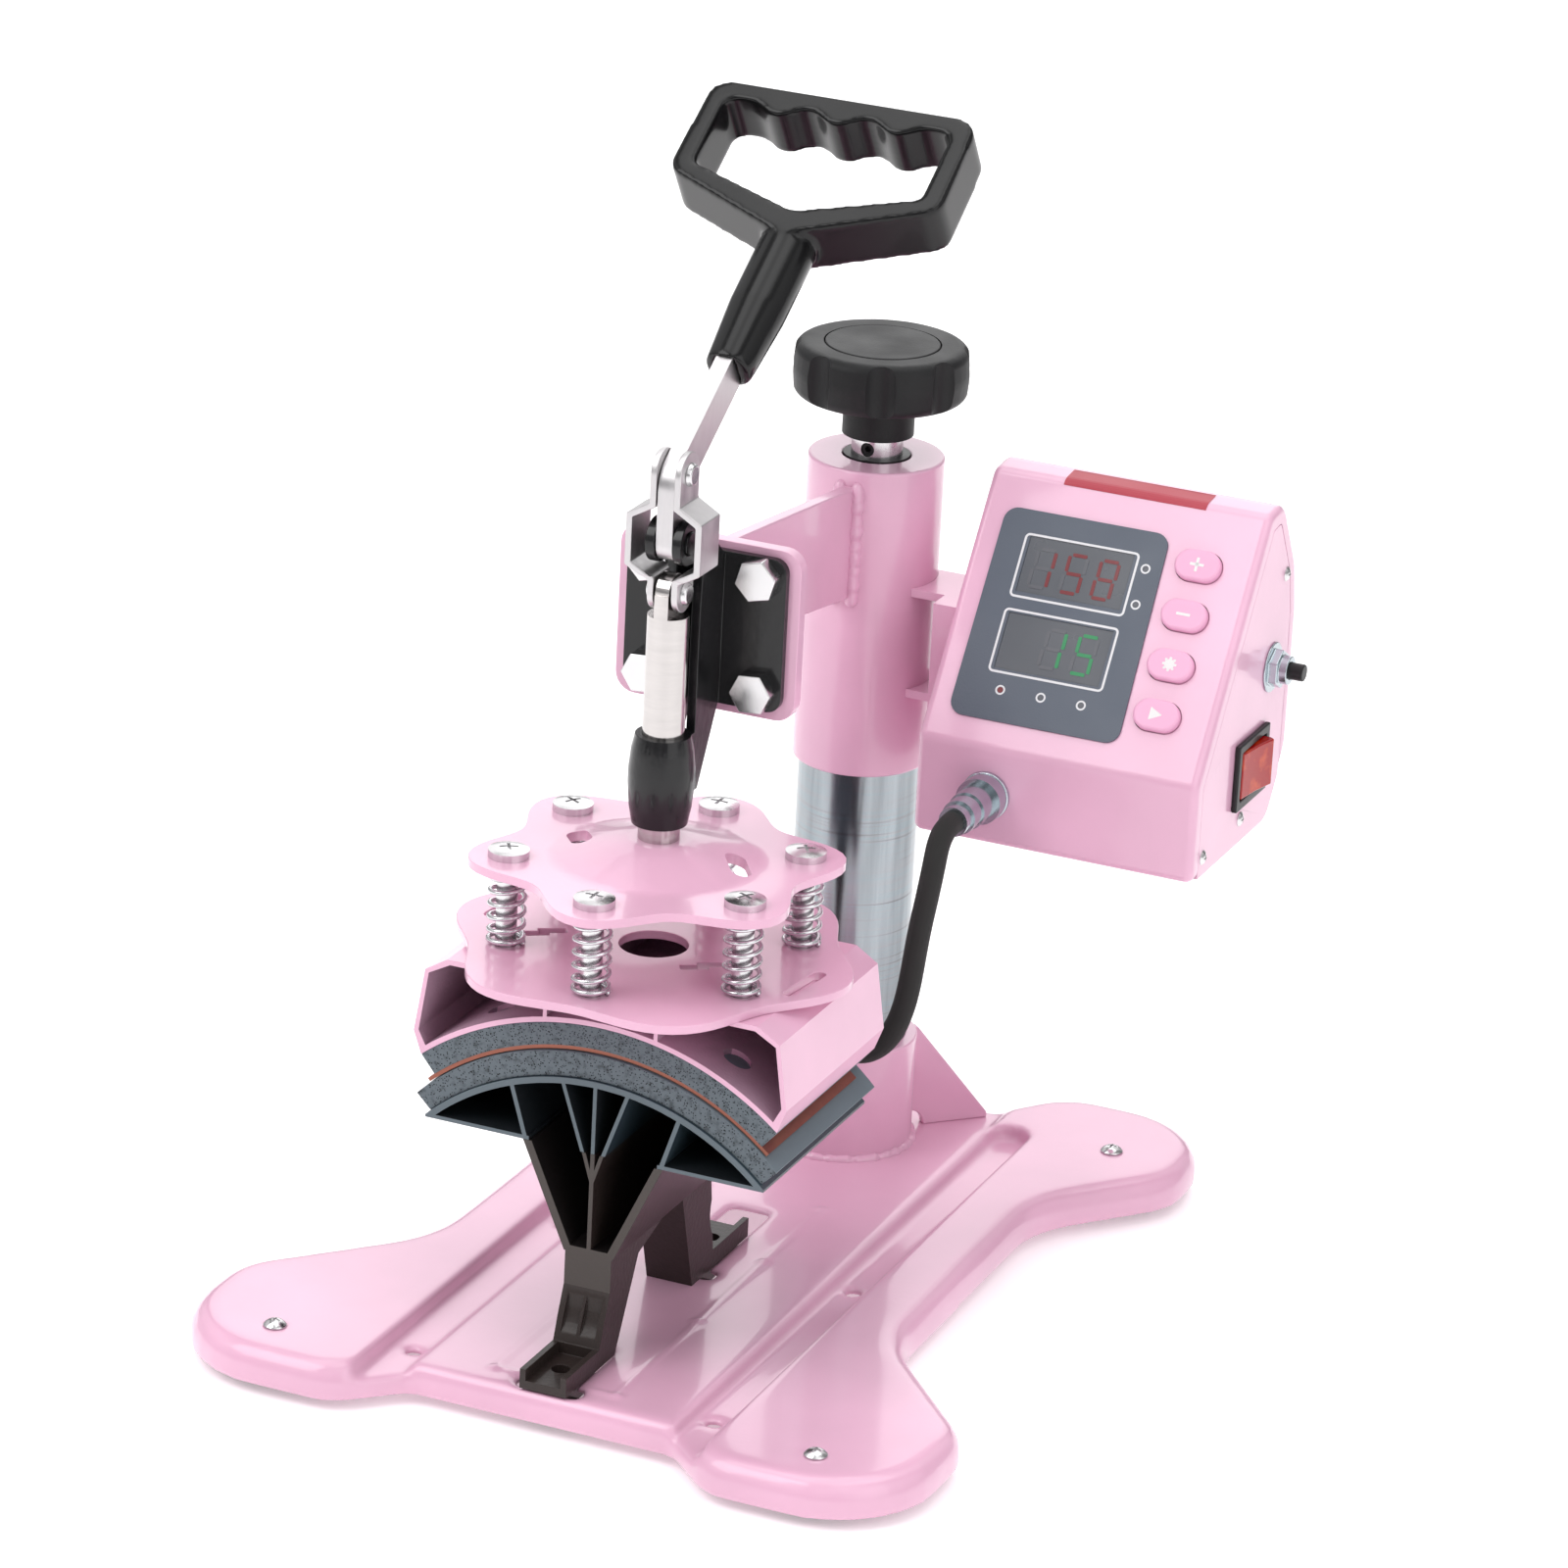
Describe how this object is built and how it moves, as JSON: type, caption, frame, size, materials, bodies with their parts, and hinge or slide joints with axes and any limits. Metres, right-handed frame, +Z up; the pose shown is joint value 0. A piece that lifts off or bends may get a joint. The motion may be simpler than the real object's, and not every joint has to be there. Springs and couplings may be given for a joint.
{
  "type": "cap heat press",
  "caption": "Small swing-down heat press: a sprung, curved heated platen is pushed onto a saddle-shaped lower platen by a toggle handle, with a control box on a round column.",
  "frame": {"origin": "on the ground, under the middle of the machine's overall box", "axes": "+Z up, front of the machine towards -Y, control box towards +X"},
  "size_m": [0.292, 0.3384, 0.4082],
  "materials": {
    "pink_paint": "gloss",
    "black_paint": "satin",
    "bronze_paint": "satin",
    "slate_paint": "satin",
    "zinc": "zinc plated",
    "bolt_steel": "zinc plated",
    "spring_wire": "drawn wire",
    "rubber_black": "matte",
    "grip_plastic": "gloss",
    "knob_plastic": "moulded",
    "black_plastic": "matte",
    "silicone_foam": "closed-cell foam",
    "copper_element": "etched foil",
    "membrane": "printed film",
    "lens": "tinted window",
    "circuit_board": "solder mask",
    "rocker_red": "translucent red",
    "button_pink": "matte",
    "braid": "braided sleeve"
  },
  "bodies": {
    "base": {"base_plate": "pink_paint", "rubber_feet": "rubber_black", "foot_screws": "bolt_steel", "column_socket": "pink_paint", "socket_gussets": "pink_paint", "column_tube": "zinc", "column_nut": "bolt_steel"},
    "lower_platen_set": {"stand": "bronze_paint", "lower_platen": "slate_paint", "lower_pad": "silicone_foam"},
    "carriage": {"carriage_sleeve": "pink_paint", "top_bearing": "black_plastic", "arm_web": "pink_paint", "backing_plate": "pink_paint", "clamp_bracket": "black_paint", "bracket_bolts": "bolt_steel", "bracket_nuts": "bolt_steel", "barrel_guide": "black_paint", "handle_pivot_pin": "bolt_steel", "box_bracket": "pink_paint", "bracket_screws": "bolt_steel", "box_shell": "pink_paint", "left_panel": "pink_paint", "right_panel": "pink_paint", "panel_screws": "bolt_steel", "display_panel": "membrane", "display_lenses": "lens", "display_board": "circuit_board", "control_board": "circuit_board", "heater_socket": "bolt_steel", "connector_plug": "bolt_steel", "breaker_body": "bolt_steel", "rocker_frame": "black_plastic", "mains_inlet": "black_plastic", "heater_lead": "braid"},
    "knob": {"knob": "knob_plastic", "knob_cap": "knob_plastic", "lift_screw": "bolt_steel", "set_screw": "black_plastic"},
    "handle": {"handle_arm": "zinc", "handle_grip": "grip_plastic"},
    "link": {"link_plates": "zinc", "link_pin": "zinc", "link_rivets": "zinc"},
    "plunger": {"plunger_rod": "zinc", "spider_plate": "pink_paint"},
    "heated_platen": {"spring_plate": "pink_paint", "spring_screws": "bolt_steel", "pressure_springs": "spring_wire", "heater_housing": "pink_paint", "heater_pad": "silicone_foam", "heating_element": "copper_element", "lead_gland": "bolt_steel"},
    "plus_key": {"plus_button": "button_pink"},
    "minus_key": {"minus_button": "button_pink"},
    "set_key": {"set_button": "button_pink"},
    "start_key": {"start_button": "button_pink"},
    "rocker": {"power_rocker": "rocker_red"},
    "reset_key": {"reset_button": "black_plastic"}
  },
  "joints": [
    {"name": "knob_turn", "type": "hinge", "parent": "carriage", "child": "knob", "pos_m": [-0.0115, 0.09825, 0.302], "axis": [0, 0, 1], "range_deg": [0, 3601]},
    {"name": "carriage_lift", "type": "slide", "parent": "base", "child": "carriage", "axis": [0, 0, 1], "range_m": [0, 0.04]},
    {"name": "handle_swing", "type": "hinge", "parent": "carriage", "child": "handle", "pos_m": [-0.0115, -0.07375, 0.2897], "axis": [1, 0, 0], "range_deg": [0, 90.01]},
    {"name": "link_swing", "type": "hinge", "parent": "handle", "child": "link", "pos_m": [-0.0115, -0.07375, 0.3131], "axis": [1, 0, 0], "range_deg": [-56, 0]},
    {"name": "plunger_slide", "type": "slide", "parent": "carriage", "child": "plunger", "axis": [0, 0, -1], "range_m": [0, 0.016]},
    {"name": "platen_float", "type": "slide", "parent": "plunger", "child": "heated_platen", "axis": [0, 0, 1], "range_m": [0, 0.0161], "deforming": ["pressure_springs"]},
    {"name": "stand_slide", "type": "slide", "parent": "base", "child": "lower_platen_set", "axis": [0, 1, 0], "range_m": [0, 0.015]},
    {"name": "plus_press", "type": "slide", "parent": "carriage", "child": "plus_key", "axis": [0, 0.8192, -0.5736], "range_m": [0, 0.0012], "stiffness_N_per_m": 500},
    {"name": "minus_press", "type": "slide", "parent": "carriage", "child": "minus_key", "axis": [0, 0.8192, -0.5736], "range_m": [0, 0.0012], "stiffness_N_per_m": 500},
    {"name": "set_press", "type": "slide", "parent": "carriage", "child": "set_key", "axis": [0, 0.8192, -0.5736], "range_m": [0, 0.0012], "stiffness_N_per_m": 500},
    {"name": "start_press", "type": "slide", "parent": "carriage", "child": "start_key", "axis": [0, 0.8192, -0.5736], "range_m": [0, 0.0012], "stiffness_N_per_m": 500},
    {"name": "rocker_tilt", "type": "hinge", "parent": "carriage", "child": "rocker", "pos_m": [0.133, 0.09325, 0.1855], "axis": [0, 0, 1], "range_deg": [0, 16]},
    {"name": "reset_press", "type": "slide", "parent": "carriage", "child": "reset_key", "axis": [-1, 0, 0], "range_m": [0, 0.003], "stiffness_N_per_m": 400}
  ],
  "couplings": [
    {"joint": "knob_turn", "follows": "carriage_lift", "rad_per_m": 1570.8},
    {"joint": "handle_swing", "follows": "plunger_slide", "rad_per_m": 98.175},
    {"joint": "link_swing", "follows": "plunger_slide", "rad_per_m": -59.788},
    {"joint": "platen_float", "follows": "plunger_slide", "ratio": 1}
  ]
}
